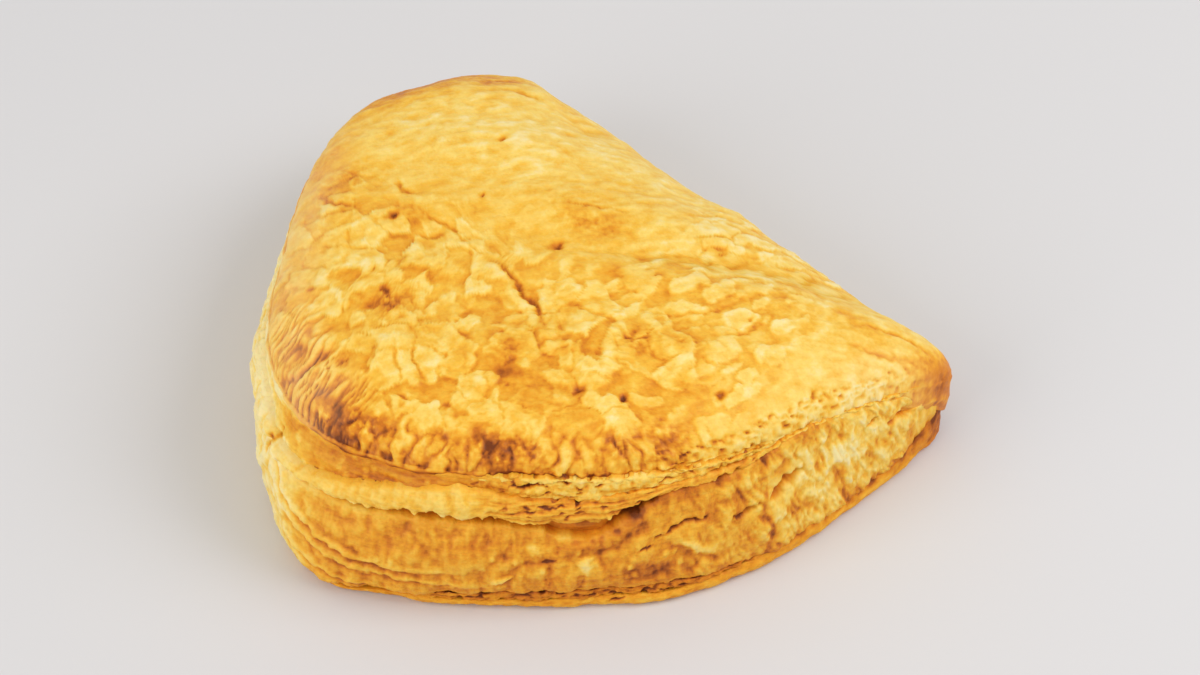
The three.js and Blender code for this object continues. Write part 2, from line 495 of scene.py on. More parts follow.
PIN_HOLES = [  # x, y, radius
    (-32, 28, 0.7), (-22.5, 11, 0.6), (-33, -5.5, 1.0), (-0.5, 9.5, 1.1), (29, -18, 0.9), (37, -14, 0.6),
    (50, 0.5, 0.9), (42, 20, 0.6),
]
LONG_CRACK = [(-9.5, -3), (-6, -2.2), (-3.5, -3.2), (0, -3.8), (3.4, -6), (8, -6.6), (11, -9.2), (15, -11.2)]

# Creases of the lid: the line they follow, width, depth.
CREASES = [
    ([(-21.4, -51.5), (-18.8, -47.7), (-16.6, -39.5)], 0.8, 0.9),
    ([(-31, -0.2), (-26, -1.2), (-21, -0.6), (-15, -2.4), (-9, -3.2)], 0.5, 0.35),
    ([(-8, 20), (-1.8, 25), (4.6, 29.6)], 0.4, 0.3),
    ([(-45, 44.8), (-41, 46.8), (-37.5, 47.6)], 0.8, 0.5),
    ([(-52, -8), (-47, -9.5), (-42, -8)], 0.7, 0.6),
    ([(-41, 4), (-37, 2), (-34, 3)], 0.6, 0.6),
    ([(60.3, 18.1), (61.3, 16.5)], 0.6, 0.6),
    ([(40, 10), (44, 17), (43, 25)], 0.45, 0.35),
    ([(25, 6), (31, 9), (36, 16), (38, 26)], 0.45, 0.35),
    ([(58, 33), (64, 38), (68, 45)], 0.7, 0.5),
    ([(56, 40), (63, 47), (68, 50)], 0.6, 0.5),
]

# Browner (+) and paler (-) places of the lid: x, y, radius along x, radius along y, how much.
LID_PATCHES = [
    (-59, 38, 7, 12, 0.24), (-66, 22, 5, 14, 0.06), (-60, 0, 6, 14, 0.16), (-51, -2, 6, 9, 0.2),
    (-39, -34, 5, 9, 0.12), (-52, 47, 9, 7, 0.3), (-25, -45, 5, 4, 0.14), (-4.6, -51, 7, 3.6, 0.7),
    (-11, -51.5, 5, 4, 0.34), (2, -49, 4.5, 3, 0.52), (7, -47, 3, 3, 0.18), (25, -38.5, 5.5, 3.6, 0.9),
    (32, -34, 6, 3, 0.3), (-8, -42, 5, 5, 0.08), (-15.5, -25, 6, 5, 0.42), (18, -24, 5.5, 4, 0.2),
    (11, -20, 5, 4, 0.34), (22, -28, 3, 3, 0.14), (-1, 20, 13, 8, 0.22), (30, -1, 6, 6, 0.32),
    (37, -14, 3, 2.5, 0.14), (29, -22, 9, 7, 0.12), (45, -12, 9, 9, 0.12), (33, 22, 7, 7, 0.12),
    (43, 27, 6, 6, 0.12), (57, 39, 8, 6, 0.12), (69, 48, 5, 12, 0.3), (-31, -3, 6, 5, 0.2),
    (-24, 5, 5, 4, 0.12), (-30, 30, 26, 14, -0.1), (-20, 0, 10, 8, -0.06), (-3.7, -36.8, 4, 4, -0.1),
    (-30, -14, 9, 8, -0.05), (52, 15, 10, 12, -0.06), (62, 28, 6, 8, -0.05), (0, 45, 40, 9, -0.08),
    (-46, 54, 16, 4, 0.15), (-66, 36, 4, 12, 0.08), (-10, -16, 7, 5, -0.12), (41, -22, 5, 4, 0.22),
    (48, -14, 5, 4, 0.18), (14, -43, 5, 3, 0.16), (55, -3, 5, 5, 0.1),
]

# Broad swells (+) and hollows (-) of the lid at the fold: x, y, radii, mm.
LID_SWELLS = [
    (-41, 51, 8, 6, 1.1), (13, 52, 8, 7, 0.9), (-26, 50, 7, 5, -1.2), (-66, 38, 9, 13, -1.3),
    (-50, 55, 7, 6, 0.9),
]


def region_masks(x, y, s, d):
    """Where the lid is cobbled with plates, flagged with long ones, drawn out, fingered and wrinkled."""
    wander = 6 * noise(x / 22, y / 22, 71)
    cobbled = soft(14, -6, y - 0.1 * x + wander) * soft(56, 34, x + 0.2 * y + wander)
    cobbled *= soft(-62, -46, x + 0.3 * y)
    flagged = soft(6, 20, x + wander) * soft(-14, -2, y) * soft(62, 50, x + 0.2 * y)
    drawn = soft(2, 22, y - 0.1 * x + wander)
    fingered = span(198, 208, 268, 290, s) * soft(10, 5, d + 3 * drift(s, 5, 104))
    fingered *= soft(-1.6, 0.2, d + soft(222, 238, s) + 0.9 * drift(s, 4, 109))
    wrinkled = span(165, 178, 200, 210, s) * span(-1.4, 0.6, 10, 17, d)
    return cobbled, flagged, drawn, fingered, wrinkled


def lid_surface(x, y, plan_x, plan_y, s, d):
    """The lid's relief in mm and its browning, with painted shade in the holes, the crack and the creases.

    x and y are places on the dough laid flat, plan_x and plan_y the same places seen from above, s the
    length along the rim and d the distance in from the lip, less than 0 below it.
    """
    cobbled, flagged, drawn, fingered, wrinkled = region_masks(plan_x, plan_y, s, d)
    inside = soft(-0.5, 2.5, d)
    calm = (1 - fingered) * (1 - wrinkled) * inside
    plates = calm * cobbled
    flags = calm * flagged * (1 - 0.7 * cobbled)
    strong = 0.55 + 0.45 * soft(-0.4, 0.4, noise(x / 15, y / 15, 72))

    bent_x, bent_y = (x, y) + wobble(x, y, 6, 1.6, 11) + wobble(x, y, 2, 0.6, 13)
    big, big_number = flakes(bent_x, bent_y, 7.5, 5, 0.5)
    middle, middle_number = flakes(bent_x + 2.1, bent_y, 4.3, 23, 0.5)
    small = flakes(bent_x, bent_y + 1.3, 2.3, 43, 0.35)[0]
    along, across = turned(bent_x, bent_y, PLATE_TURN)
    long_plates, long_number = discs(across, along / 2.1, 3.6, 63, 0.85, 0.5)
    pits = discs(bent_x + 3, bent_y - 2, 2.2, 53, 0.05, 0.9)[0] * (1 - 0.6 * big)

    along, across = turned(x, y, STREAK_TURN)
    across += 0.9 * noise(x / 6, y / 6, 82)
    streaks = 0.7 * fractal(along / 5.5, across / 2.2, 81) + 0.5 * fractal(x / 4, y / 4, 85)
    torn = terraces(1.3 * streaks, 4)
    fine = fractal(x / 2.6, y / 2.6, 91)
    speckles = fractal(x / 1.1, y / 1.1, 97, 2)
    chipped = terraces(1.2 * fractal(x / 6, y / 6, 92), 4)
    broad = fractal(x / 20, y / 20, 95, 3)
    blotches = soft(0.0, 0.6, fractal(x / 9, y / 9, 98)) * soft(-10, 15, plan_x)

    bent_s = s + 1.6 * noise(s / 5, d / 4, 102) + 0.5 * noise(s / 1.8, d / 2, 108)
    bent_s += 0.3 * d * drift(s, 13, 103)
    nearest, second, number = cells(bent_s / 3.6, (d + 4 * drift(s, 5, 105)) / 7.5, 101)[:3]
    lobes = soft(-0.25, 0.6, second - nearest) * (0.35 + 0.65 * number)
    crease_x = x / 1.5 + 0.9 * noise(x / 7, y / 7, 112)
    crease_y = y / 8 + 0.4 * noise(x / 4, y / 7, 113)
    creased = soft(0.45, 0.0, np.abs(noise(crease_x, crease_y, 111)))

    height = (0.5 * broad + 0.2 * torn * drawn + 0.06 * streaks) * inside + 0.1 * fine
    height += (0.22 + 0.16 * cobbled) * chipped * (1 - 0.6 * drawn) * inside
    height += 1.5 * plates * strong * (0.42 * big + 0.34 * middle * (1 - 0.5 * big) + 0.16 * small)
    height += flags * (0.34 * long_plates + 0.14 * middle) - 0.4 * pits * plates
    height += fingered * (1.2 * lobes * (0.7 + 0.5 * broad) + 0.35 * fine + 0.14 * chipped - 0.5)
    height += wrinkled * (0.2 - 0.5 * creased + 0.12 * speckles)

    bake = 0.34 + 0.06 * broad + 0.05 * fine - 0.03 * drawn - 0.07 * torn * drawn - 0.06 * chipped
    tops = 0.18 * np.maximum(big, middle) + 0.05 * small + 0.16 * (big_number - 0.5) * (big > 0.2)
    bake += plates * (0.14 - tops - 0.1 * (middle_number - 0.5) * (middle > 0.2) + 0.14 * pits)
    bake += flags * (0.1 - 0.2 * long_plates + 0.12 * (long_number - 0.5)) + calm * (0.16 * blotches - 0.03)
    bake += fingered * (0.2 + 0.2 * speckles - 0.24 * lobes) + wrinkled * (-0.02 + 0.24 * creased)
    tip = soft(334, 344, s + 0.4 * d) * soft(370, 358, s) * soft(8, 1, d + 3 * fine)
    bake += (0.44 + 0.3 * fine) * tip
    broad_end = soft(108, 88, s)
    left = span(55, 65, 190, 200, s) * soft(12, 5, d - 6 * broad_end)
    bake += (0.04 + 0.24 * soft(105, 85, s)) * left
    bake += 0.06 * span(190, 200, 270, 290, s) * soft(14, 6, d)
    for *oval, amount in LID_PATCHES:
        grainy = 1 + 0.8 * fine + 0.8 * speckles * (amount > 0.1) - 0.3 * (big > 0.5) * cobbled
        bake += amount * spot(plan_x, plan_y, *oval) * grainy
    bake -= 0.7 * np.maximum(bake - BURNT, 0)
    holes_height, holes_painted_light = lid_holes(plan_x, plan_y)
    return height + holes_height, bake + holes_painted_light


def lid_holes(x, y):
    """Relief of the pin holes, the long crack, the creases and the fold's swells; painted shade in the first
    three.
    """
    rough_x, rough_y = (x, y) + wobble(x, y, 1.6, 0.5, 131)
    height = spots(x, y, LID_SWELLS)
    bake = 0
    for at_x, at_y, radius in PIN_HOLES:
        away = np.hypot(rough_x - at_x, (rough_y - at_y) * 0.8) / radius
        height -= 1.1 * radius * bell(away)
        # Painted shade: each pin hole darker towards its middle.
        bake += 0.27 * bell(away / 1.2) + 0.05 * bell(away / 4)
    away, side, reach = off_line(rough_x, rough_y, LONG_CRACK)
    ends = taper(reach, 0.03) * (0.75 + 0.35 * noise(reach * 7, 0 * reach, 133))
    height += ends * (0.5 * bell((side + 1.6) / 1.1) - 1.1 * bell(away / (0.3 + 0.35 * ends)))
    # Painted shade in the crack, and a painted highlight on its raised side.
    bake += ends * (0.26 * bell(away / 0.7) - 0.1 * bell((side + 1.7) / 1.2))
    for line, width, depth in CREASES:
        away, side, reach = off_line(rough_x, rough_y, line)
        mark = depth * taper(reach, 0.05) ** 0.7 * bell(away / width)
        height -= mark
        # Painted shade: each crease darker by its depth.
        bake += 0.25 * mark
    return height, bake


def lip_marks(s, d, fold):
    """Relief in mm, browning and dryness of the lip: ragged, a painted shadow line under it, crumbs at the
    right.
    """
    lip = soft(4, 0.5, np.abs(d))
    front = soft(222, 240, s)
    ragged_lip = 0.6 * drift(s, 7, 5) + 0.4 * fractal(s / 2.2, d / 3, 6, 3)
    height = ragged_lip * lip * (1 - 0.7 * fold) * (0.45 + 0.55 * front)
    bake = 0.18 * lip * soft(180, 194, s) * (1 - front)
    # A dark line along the underside of the lip: a painted shadow line under the lid's edge.
    shadow_line_at = -1.5 + 0.5 * front + 0.3 * drift(s, 6, 7)
    shadow_line = bell((d - shadow_line_at) / 0.5) * span(194, 206, 256, 272, s)
    bake += 0.5 * shadow_line * (0.8 + 0.6 * drift(s, 4, 12))

    reach = 3 + 2.5 * soft(284, 300, s) + 1.2 * drift(s, 8, 11)
    crumbled = span(262, 276, 326, 338, s) * soft(reach + 1.5, reach - 1, np.abs(d))
    crumbs = fractal(s / 2.2, d / 0.9, 8)
    torn = soft(0.3, 0.7, noise(s / 3.0, (d + drift(s, 4, 10)) / 0.8, 9)) * crumbled
    line = bell((d - reach + 0.8 * drift(s, 2, 18)) / 0.45) * crumbled
    line *= soft(-0.1, 0.35, drift(s, 2.5, 19))
    height += 0.6 * crumbled * crumbs - 0.35 * torn - 0.5 * line
    bake += 0.24 * torn + 0.3 * line - crumbled * (0.03 + 0.18 * crumbs)
    # The lip's underside on the cut edge is painted darker: painted shade under the lid's edge.
    bake += 0.12 * soft(0.8, 2.4, -d) * soft(0.35, 0.05, fold)

    dry = span(95, 125, 192, 206, s) * soft(17, 6, d)
    dry += 0.5 * span(308, 324, 332, 342, s) * soft(18, 6, d)
    return height, bake, dry * (0.22 + 0.14 * fractal(s / 5, d / 5, 15))


def make_lid():
    """The lid: square rings squeezed into the rim's outline and raised to a dome, then a skirt.

    Round the cut edge the skirt is a thin rounded lip, tucked under. Round the fold it is a quarter round
    down to the base.
    """
    axis = np.arange(-LID_RINGS, LID_RINGS + 1.0)
    a, b = (values.ravel() for values in np.meshgrid(axis, axis))
    ring = np.maximum(np.abs(a), np.abs(b))
    size = np.maximum(ring, 1)
    turn = np.select(
        [(a == ring) & (b > -ring), b == ring, a == -ring],
        [b / size / 8, 0.25 - a / size / 8, 0.5 - b / size / 8],
        0.75 + a / size / 8,
    )
    turn = np.mod(turn, 1)
    reach = 1 - (1 - ring / LID_RINGS) ** LID_CROWDING
    s = turn * RIM_LENGTH
    at = rim(s)
    radius = np.hypot(at["x"] - CROWN_X, at["y"] - CROWN_Y)
    plan_x = CROWN_X + (at["x"] - CROWN_X) * reach
    plan_y = CROWN_Y + (at["y"] - CROWN_Y) * reach
    rise = CROWN_HEIGHT - at["height"]

    def dome(share):
        return rise * (1 - share ** at["shoulder"]) ** (1 / DOME_POWER)

    def dough_length(share):
        """How long the dough is from the crown out to that share of the way, in straight steps."""
        total = 0
        before = dome(0 * share)
        for step in range(1, DOUGH_STEPS + 1):
            after = dome(share * step / DOUGH_STEPS)
            total += np.hypot(radius * share / DOUGH_STEPS, after - before)
            before = after
        return total

    hills = np.sin(2 * math.pi * plan_x / HILL_SPACING_X) * np.sin(2 * math.pi * plan_y / HILL_SPACING_Y)
    z = at["height"] + dome(reach) + HILL_HEIGHT * hills * (1 - reach**4)
    length = dough_length(reach)
    whole = dough_length(np.ones_like(reach))
    unit_x = (at["x"] - CROWN_X) / radius
    unit_y = (at["y"] - CROWN_Y) / radius

    # The skirt starts from the outermost square ring, in order round the rim.
    edge = np.flatnonzero(ring == LID_RINGS)
    edge = edge[np.argsort(turn[edge])]
    around = {key: value[edge] for key, value in at.items()} | {"s": s[edge]}
    rows = LIP_ROWS + FOLD_ROWS + len(TUCK)
    skirt = np.array([skirt_row(around, row) for row in range(1, rows + 1)])
    before = np.concatenate([[np.stack([around["x"], around["y"], around["height"]], -1)], skirt[:-1]])
    path = np.cumsum(np.linalg.norm(skirt - before, axis=2), axis=0)

    count = len(edge)
    points = np.concatenate([np.stack([plan_x, plan_y, z], -1), skirt.reshape(-1, 3)])
    spread = (whole[edge] + path).ravel()

    def with_skirt(values):
        return np.concatenate([values, np.tile(values[edge], rows)])

    outward = np.concatenate([length, spread])
    dough_x = CROWN_X + with_skirt(unit_x) * outward
    dough_y = CROWN_Y + with_skirt(unit_y) * outward
    s = with_skirt(s)
    fold = with_skirt(at["fold"])
    d = np.concatenate([whole - length, -path.ravel()])

    side = len(axis)
    r, c = np.meshgrid(np.arange(side - 1), np.arange(side - 1), indexing="ij")
    first = (r * side + c).ravel()
    top_quads = np.stack([first, first + 1, first + side + 1, first + side], -1)
    order = np.concatenate([edge, side * side + np.arange(rows * count)])
    skirt_quads = order[ring_faces(rows + 1, count)][:, [3, 2, 1, 0]]
    quads = np.concatenate([top_quads, skirt_quads])

    height, bake = lid_surface(dough_x, dough_y, points[:, 0], points[:, 1], s, d)
    lip_height, lip_bake, dry = lip_marks(s, d, fold)
    shown = 1 - 0.8 * soft(3, 6, -d) * (1 - fold)
    points += vertex_normals(points, quads) * ((height + lip_height) * shown)[:, None]
    points[:, 2] = np.maximum(points[:, 2], 0.05)
    # Painted shade in the hollows and painted highlight on the ridges, with some browning.
    bake += lip_bake + hollow_shade_and_browning(points, quads, 14, 0.66)

    points = np.concatenate([points, [[CROWN_X, CROWN_Y, LID_MIDDLE_Z]]])
    last = order[-count:]
    fan = np.stack([np.roll(last, -1), last, np.full(count, len(points) - 1)], -1)
    looks = {"bake": np.append(bake, 0.7), "dryness": np.append(dry, 0)}
    make_piece("lid_crust", points, [quads, fan], looks, LID_CRUST)


def skirt_row(around, row):
    """One row of the lid's skirt: a half round lip on the cut edge, a quarter round on the fold."""
    s = around["s"]
    tail = soft(320, 342, s)
    cut_row = min(row, LIP_ROWS)
    turn = math.pi * (0.5 - cut_row / LIP_ROWS)
    swell = LIP_SWELL * (0.8 + 0.8 * drift(s, 5, 16))
    swell *= 1 - 0.8 * soft(226, 240, s) - 0.4 * soft(280, 298, s)
    cut_drop = (LIP_HEIGHT + 4 * tail) * (1 - math.sin(turn)) / 2 * (1 + 0.3 * drift(s, 7, 17))
    cut_out = swell * (math.cos(turn) ** 0.8 if cut_row < LIP_ROWS else 0)
    cut_out += (around["foot"] * cut_drop / around["height"] + 0.4) * tail
    w = 1 - min(row, LIP_ROWS + FOLD_ROWS) / (LIP_ROWS + FOLD_ROWS)
    tuck = row - LIP_ROWS - FOLD_ROWS
    inward = TUCK[tuck - 1] if tuck > 0 else 0
    cut_in = inward + 0.09 * (row - cut_row)
    fold_out = around["foot"] * (1 - math.sin(w * math.pi / 2))
    blend = around["fold"] ** 0.8
    out = (cut_out - cut_in) * (1 - blend) + (fold_out - inward) * blend
    z = (around["height"] - cut_drop) * (1 - blend) + around["height"] * w * blend
    return beyond_rim(around, out, z)


# ---- The layers of the cut edge ----

CUT_START = 42  # the cut edge runs between these lengths along the rim; the rest is hidden by the fold
CUT_END = 368
FINE_STEP = 0.25
COARSE_STEP = 2.0
FOLD_SINK = 4.0
EDGE_INSETS = np.array([0.5, 1.3, 2.8, 7.0])  # how far in the rows behind a layer's edges run
MARK_REACH = 8  # a slit or a fold ends this far beyond its line, along the rim
# How much darker the slits are painted: painted shade in the openings.
SLIT_SHADE = 0.4

# Openings torn in the side: the line they follow (length along the rim, share of the height), width, depth.
SLITS = [
    ([(260.5, 0.70), (263, 0.745), (267.5, 0.81)], 1.0, 2.6),
    ([(268, 0.54), (271, 0.575), (274, 0.61), (278, 0.60)], 0.7, 1.8),
    ([(283.5, 0.55), (286, 0.565), (289, 0.59)], 1.2, 2.4),
    ([(291.5, 0.575), (294, 0.625), (297, 0.665), (300, 0.69)], 1.9, 3.2),
    ([(318.5, 0.8), (321, 0.85)], 0.6, 1.4),
    ([(324, 0.74), (328, 0.77), (334, 0.75)], 1.5, 2.8),
    ([(264, 0.47), (267, 0.49)], 0.5, 0.5),
    ([(258.5, 0.07), (261.5, 0.1)], 0.8, 0.9),
    ([(186.5, 0.58), (187.5, 0.68), (189.5, 0.78)], 1.8, 1.2),
    ([(152, 0.62), (156, 0.6), (161, 0.63)], 0.9, 1.8),
    ([(118, 0.6), (124, 0.63), (130, 0.6)], 0.9, 1.8),
    ([(96, 0.5), (101, 0.54), (105, 0.5)], 0.8, 1.6),
    ([(245.5, 0.42), (248.5, 0.43)], 0.8, 0.4),
    ([(259, 0.66), (263, 0.73), (268, 0.8)], 2.0, 0.5),
    ([(240, 0.93), (244, 0.925), (247, 0.935)], 0.5, 1.0),
    ([(249.5, 0.95), (252, 0.945)], 0.5, 1.0),
    ([(256, 0.93), (259, 0.925)], 0.5, 1.0),
    ([(245, 0.8), (251, 0.8)], 0.5, 0.4),
]

# Folds that stand proud of the side: their line, width, height, and how much browner they are.
FOLDS = [
    ([(186, 0.8), (191, 0.68), (196, 0.52), (203, 0.42), (211, 0.35), (220, 0.33), (231, 0.36)],
     0.8, 0.6, -0.08),
    ([(190, 0.56), (196, 0.42), (204, 0.32), (212, 0.27), (224, 0.25), (236, 0.24)], 0.8, 0.5, -0.07),
    ([(192, 0.34), (199, 0.22), (209, 0.15), (222, 0.13)], 0.7, 0.45, -0.06),
    ([(247, 0.48), (258, 0.53), (262.5, 0.62), (268.5, 0.76)], 1.4, 0.7, 0.08),
    ([(271, 0.5), (275, 0.42), (280, 0.32)], 1.1, 0.6, -0.28),
    ([(300, 0.5), (303, 0.4), (305, 0.28)], 1.1, 0.5, -0.14),
    ([(236, 0.26), (240.5, 0.32)], 0.6, 0.7, -0.2),
    ([(254, 0.3), (255, 0.45)], 1.8, 0.5, -0.12),
    ([(258.5, 0.61), (259.3, 0.76)], 0.7, 0.9, -0.14),
    ([(287, 0.24), (290, 0.36), (288, 0.5)], 1.3, 0.5, -0.08),
    ([(281, 0.72), (292, 0.8), (300, 0.9)], 1.0, 0.4, -0.04),
    ([(182, 0.3), (186, 0.5), (187, 0.7)], 1.6, 0.7, -0.04),
]

# Broad swells (+) and hollows (-) of the side: length along the rim, share of the height, radii, mm.
SIDE_SWELLS = [
    (192, 0, 11, 0.7, -2.3), (208, 0, 9, 0.4, 1.3), (257, 0, 7, 0.3, -0.9), (271, 0, 9, 0.3, 0.9),
    (306, 0, 13, 0.3, 0.5),
]

# Browner (+) and paler (-) places of the side: length along the rim, share of the height, radii, how much.
SIDE_PATCHES = [
    (263, 0.7, 4, 0.06, 0.14), (254, 0.62, 6, 0.06, 0.3), (266, 0.3, 7, 0.12, 0.28),
    (246, 0.42, 4, 0.05, 0.14), (254.5, 0.38, 3.5, 0.1, -0.2), (275, 0.42, 5, 0.12, -0.14),
    (250.5, 0.57, 2.5, 0.03, -0.25), (244, 0.53, 2, 0.04, -0.3), (210, 0.66, 12, 0.07, -0.12),
    (228, 0.72, 8, 0.07, -0.06), (233, 0.5, 14, 0.12, 0.08), (215, 0.45, 10, 0.12, 0.06),
    (252, 0.25, 10, 0.08, 0.08), (309, 0.65, 14, 0.25, -0.17), (351, 0.5, 15, 0.9, 0.4),
    (335, 0.3, 10, 0.12, 0.1), (187.5, 0.68, 3, 0.12, 0.2), (262, 0.6, 5, 0.06, 0.12),
    (254, 0.51, 8, 0.03, 0.12), (264, 0.66, 3, 0.08, 0.1), (191, 0.86, 8, 0.16, 0.34),
]


def rim_samples():
    """Lengths along the rim for the columns of a layer: close together on the cut edge, sparse elsewhere."""
    cut = np.arange(CUT_START, CUT_END, FINE_STEP)
    hidden = np.arange(CUT_END, CUT_START + RIM_LENGTH - COARSE_STEP / 2, COARSE_STEP)
    return np.concatenate([cut, hidden])


def side_marks(s, w, h):
    """Relief in mm and colour of the side's slits, folds and patches; painted shade in slits and under folds.
    """
    bake = spots(s, w, SIDE_PATCHES)
    height = np.zeros_like(s)
    rough_s, rough_h = (s, h) + wobble(s, h, 2.2, 0.6, 201) + wobble(s, h, 0.9, 0.25, 203)

    def beside(line):
        """Which places lie near that line, and what off_line says of them."""
        points = [(at, share * rim(at)["height"]) for at, share in line]
        near = (s > line[0][0] - MARK_REACH) & (s < line[-1][0] + MARK_REACH)
        return near, *off_line(rough_s[near], rough_h[near], points)

    for line, width, depth in SLITS:
        near, away, side, reach = beside(line)
        ends = np.clip(taper(reach, 0.06), 0.2, 1) ** 0.5
        mark = bell(away / (width * 0.55 * ends)) * ends
        height[near] -= depth * mark
        # Painted shade inside the slit.
        bake[near] += SLIT_SHADE * mark
    for line, width, rise, browner in FOLDS:
        near, away, side, reach = beside(line)
        ends = taper(reach, 0.02) ** 0.6
        mark = bell(away / width) * ends
        # A groove under each fold, painted darker as the shade the fold casts.
        below = bell((side + width * 1.1) / (width * 0.7)) * ends
        height[near] += rise * (mark - 0.5 * below)
        bake[near] += browner * mark + 0.08 * below
    return height, bake


def make_layer(name, low, high, swell, rows, relief, material, plump=0.5):
    """A layer of the cut edge: a closed band round the rim between two heights.

    low and high give the shares of the height at each length along the rim. The face swells out by half a
    sine wave to the power plump, or stands back evenly where swell is negative, and its edges turn in.
    relief(s, w, h, v) adds mm along the normal and gives the browning. v goes from 0 at the lower edge to 1
    at the upper one.
    """
    s = rim_samples()
    at = rim(s)
    even = np.linspace(0, 1, rows)
    v = 0.5 * even + 0.25 * (1 - np.cos(math.pi * even))
    v = np.concatenate([v, np.ones(len(EDGE_INSETS)), np.zeros(len(EDGE_INSETS))])
    inward = np.concatenate([np.zeros(rows), EDGE_INSETS, EDGE_INSETS[::-1]])
    quads = ring_faces(len(v), len(s), closed=True)
    w_low = low(s)
    w_high = np.maximum(high(s), w_low + 0.01)
    swells = swell(s)
    v, inward, s = np.broadcast_arrays(v[:, None], inward[:, None], s)
    w = w_low + (w_high - w_low) * v
    rounding = FOOT_ROUNDING * (1 - np.minimum(1, w / FOOT_ROUNDING_TOP)) ** 2
    face = np.where(swells > 0, swells * np.sin(math.pi * v) ** plump, swells)
    out = at["foot"] * (1 - w) + at["belly"] * np.sin(math.pi * w) + face - rounding - inward
    out += spots(s, w, SIDE_SWELLS)
    folded = at["foot"] * (1 - np.sin(w * math.pi / 2)) - FOLD_SINK - inward
    blend = soft(0.0, 0.75, at["fold"])
    h = at["height"] * w
    points = beyond_rim(at, out * (1 - blend) + folded * blend, h).reshape(-1, 3)
    s, w, h, v, inward = (grid.ravel() for grid in (s, w, h, v, inward))
    height, bake = relief(s, w, h, v)
    mark_height, mark_bake = side_marks(s, w, h)
    points += vertex_normals(points, quads) * ((height + mark_height) * soft(4, 1, inward))[:, None]
    points[:, 2] = np.maximum(points[:, 2], 0)
    # Painted shade: the rows turned in behind the edges are darker, between the layers.
    bake += mark_bake + 0.3 * soft(0.3, 2.5, inward)
    # Painted shade in the hollows and painted highlight on the ridges, with some browning.
    bake += hollow_shade_and_browning(points, quads, 16, 0.8) * (1 - 0.4 * soft(268, 288, s))
    make_piece(name, points, [quads], {"bake": bake}, material)


def level(*stops):
    """A value that follows stops of length along the rim and value, with straight runs between them."""
    at, values = zip(*stops)
    return lambda s: np.interp(np.mod(s, RIM_LENGTH), at, values)


def ragged(line, size, fine, seed):
    """A level that wanders by size, with torn teeth of a few millimetres that are fine deep."""

    def edge(s):
        teeth = fractal(s / 2.6, 0 * s, seed + 1) * (0.6 + 0.6 * drift(s, 12, seed + 4))
        return line(s) + size * drift(s, 9, seed) + fine * teeth

    return edge


def puffed(s, h, seed):
    """Swollen dough: rounded puffs with creases between them, drawn out upwards, and small dents."""
    bend = 2.5 * noise(s / 13, h / 9, seed + 7)
    billows = np.abs(noise((s + bend) / 6.5, (h - bend) / 10, seed)) - 0.35
    dents = 0.5 * fractal(s / 9, h / 9, seed + 10, 3) + 0.34 * fractal(s / 2.0, h / 3.2, seed + 20, 4)
    return 0.9 * billows + dents


def web(s, h, seed):
    """Stretched dough: 1 on strands and tatters that mostly lean upwards, 0 in the pits between them."""
    lean = s + 0.35 * h + 1.6 * noise(s / 5, h / 4, seed + 5)
    rise = h + 1.6 * noise(s / 4, h / 5, seed + 6)
    strands = 1 - np.abs(noise(lean / 3.0, rise / 6, seed)) * 2.2
    tatters = 0.5 + 0.5 * terraces(1.4 * fractal(lean / 4.0, rise / 5.0, seed + 3, 5), 3)
    patches = soft(-0.1, 0.5, noise(s / 5, h / 5, seed + 9))
    return np.clip(np.maximum(0.9 * strands * patches, 0.85 * tatters), 0, 1)


def laminate(s, h, seed):
    """Thin layers that run along the side, -1 to 1."""
    return fractal(s / 10, (h + 0.5 * noise(s / 6, h / 5, seed + 8)) / 0.8, seed, 3)


def dashes(s, h, length, seed):
    """1 on short dark tears that run along the side, 0 between them."""
    return soft(0.35, 0.7, noise(s / length, (h + noise(s / 3, h / 2, seed + 1)) / 0.9, seed))


def age(s):
    """How the side's colour goes along the rim: pale at the left, golden in front."""
    return 0.09 + 0.32 * soft(184, 210, s) + 0.03 * soft(258, 285, s) - 0.12 * soft(284, 304, s)


def lower_crumb_relief(s, w, h, v):
    """Puffed dough with blisters in front and stretched webs towards the tail."""
    webbed = span(266, 290, 325, 340, s)
    flank = soft(190, 168, s)
    front = span(192, 206, 272, 290, s)
    puffs = puffed(s, h, 301)
    strands = web(s, h, 331)
    thin = laminate(s, h, 361)
    nearest, _, number, _ = cells(s / 1.9, h / 2.4, 351)
    blisters = soft(0.5, 0.1, nearest) * (number < 0.14) * span(0.2, 0.3, 0.45, 0.55, w)
    blisters *= span(205, 215, 282, 290, s)
    fibres = webbed * fractal((s + 0.5 * h + noise(s / 4, h / 5, 392)) / 1.3, h / 6.5, 391, 3)
    flames = soft(-0.2, 0.6, fractal((s + 1.5 * noise(s / 6, h / 6, 372)) / 3.4, h / 8, 371))
    upright = front * fractal((s + 1.5 * noise(s / 5, h / 5, 382)) / 2.6, h / 9, 381, 3)

    height = puffs * (1 - 0.4 * webbed) + 0.3 * blisters + webbed * (0.7 * strands - 0.2) + 0.12 * thin
    height += 0.35 * fibres + flank * (0.45 * thin - 0.3 * puffs) + 0.24 * upright
    bake = age(s) + 0.15 * front - 0.05 * puffs - 0.16 * blisters - 0.2 * fibres - 0.1 * upright
    bake += webbed * (0.05 + 0.4 * flames - 0.26 * strands) + (0.04 - 0.16 * flank) * thin + 0.04 * flank
    # Darker along the top edge, partly browning and partly painted shade under the tear, and darker at the
    # bottom edge.
    bake += 0.08 * soft(0.8, 1, v) * front + 0.1 * soft(0.2, 0, v)
    bake += 0.24 * soft(0.9, 0.99, v) * span(260, 268, 300, 314, s)
    bake += 0.15 * soft(0.1, 0.02, v) * soft(280, 292, s)
    return height, bake


